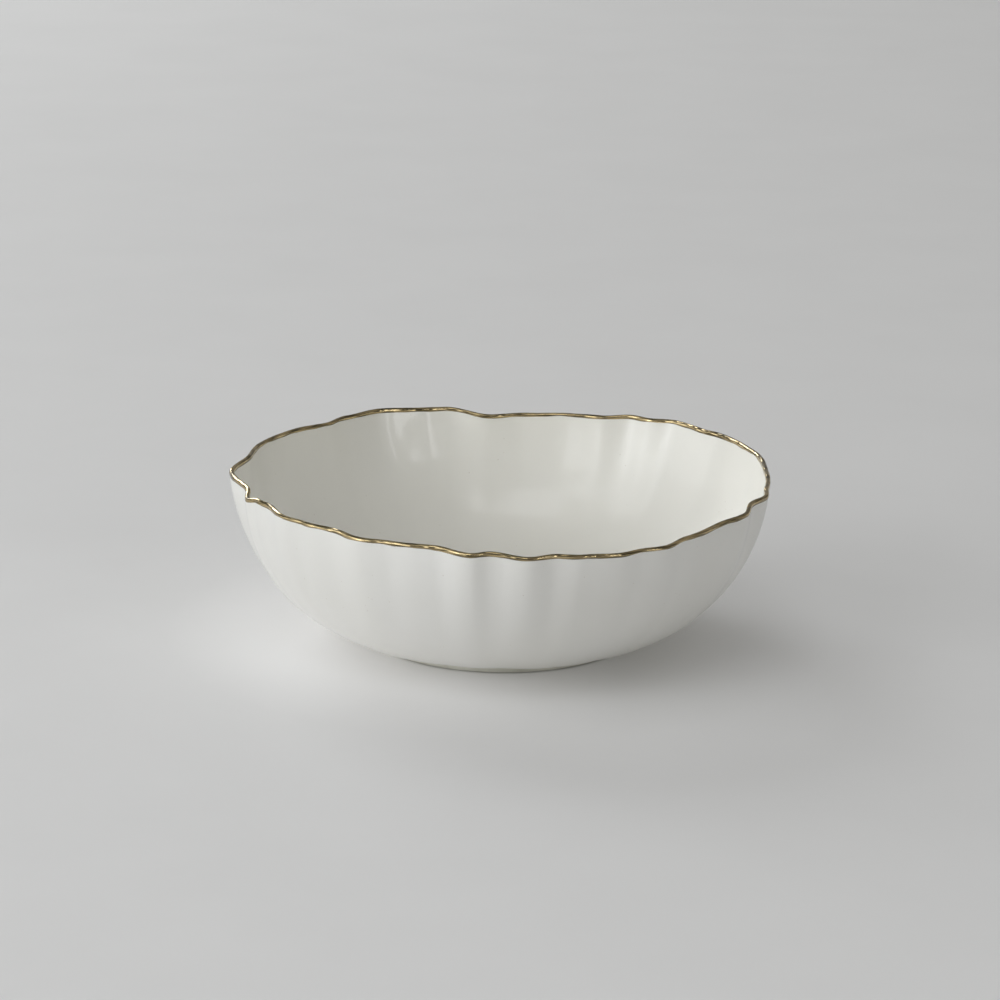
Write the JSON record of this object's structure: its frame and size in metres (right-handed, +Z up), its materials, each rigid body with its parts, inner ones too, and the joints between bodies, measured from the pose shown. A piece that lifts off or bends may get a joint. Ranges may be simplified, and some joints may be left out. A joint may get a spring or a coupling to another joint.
{
  "type": "serving bowl",
  "caption": "Wide round porcelain serving bowl with softly fluted walls, a wavy hand-shaped rim edged in gold, a cream-white gloss glaze and a short foot ring.",
  "frame": {"origin": "the centre of the foot ring on the table plane, which is also the bottom centre of the bowl", "axes": "+Z up out of the bowl, -Y towards the front of the bowl, +X to its right"},
  "size_m": [0.3042, 0.3036, 0.096],
  "materials": {
    "porcelain": "fired porcelain under the glaze",
    "bare_foot": "bare sanded porcelain",
    "glaze_inside": "cream-white gloss glaze",
    "glaze_outside": "cream-white gloss glaze",
    "gold": "bright brushed-on gold lustre"
  },
  "bodies": {
    "root": {"porcelain_body": "porcelain", "foot_ring": "bare_foot", "inner_glaze": "glaze_inside", "outer_glaze": "glaze_outside", "rim_gilding": "gold"}
  },
  "joints": []
}
